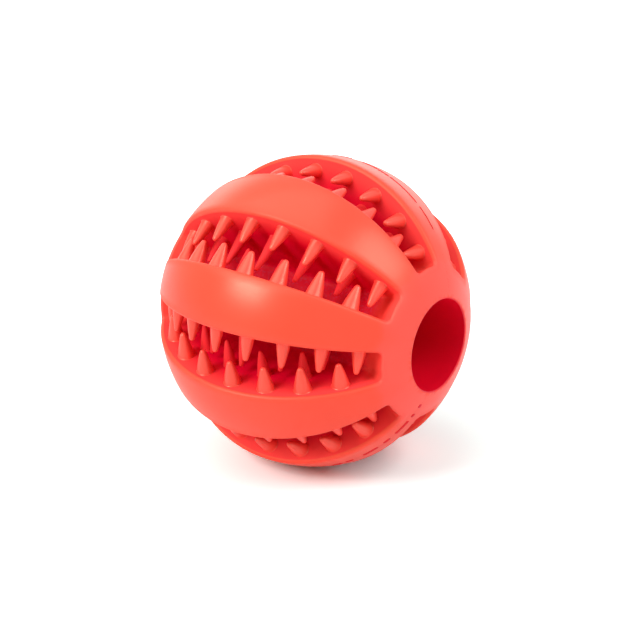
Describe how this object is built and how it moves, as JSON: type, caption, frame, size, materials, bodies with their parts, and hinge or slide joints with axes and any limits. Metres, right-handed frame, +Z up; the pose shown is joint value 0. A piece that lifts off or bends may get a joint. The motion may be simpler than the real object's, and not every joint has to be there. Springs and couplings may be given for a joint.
{
  "type": "treat dispensing ball",
  "caption": "Round rubber treat ball with a through bore and deep slots between melon-slice ribs, with rows of soft teeth that hold food and clean a chewing dog's teeth.",
  "frame": {"origin": "centre of the ball, on the axis of the through bore", "axes": "+X along the bore, out of the mouth that the picture shows; +Z up, through the middle of a slot, so that the ball stands on the two ribs beside the slot below"},
  "size_m": [0.0666, 0.0684, 0.0684],
  "materials": {
    "coral_rubber": "satin"
  },
  "bodies": {
    "root": {"core_sleeve": "coral_rubber", "front_collar": "coral_rubber", "rear_collar": "coral_rubber", "rib_1": "coral_rubber", "rib_1_right_teeth": "coral_rubber", "rib_1_left_teeth": "coral_rubber", "rib_2": "coral_rubber", "rib_2_right_teeth": "coral_rubber", "rib_2_left_teeth": "coral_rubber", "rib_3": "coral_rubber", "rib_3_right_teeth": "coral_rubber", "rib_3_left_teeth": "coral_rubber", "rib_4": "coral_rubber", "rib_4_right_teeth": "coral_rubber", "rib_4_left_teeth": "coral_rubber", "rib_5": "coral_rubber", "rib_5_right_teeth": "coral_rubber", "rib_5_left_teeth": "coral_rubber", "rib_6": "coral_rubber", "rib_6_right_teeth": "coral_rubber", "rib_6_left_teeth": "coral_rubber", "rib_7": "coral_rubber", "rib_7_right_teeth": "coral_rubber", "rib_7_left_teeth": "coral_rubber", "rib_8": "coral_rubber", "rib_8_right_teeth": "coral_rubber", "rib_8_left_teeth": "coral_rubber"}
  },
  "joints": []
}
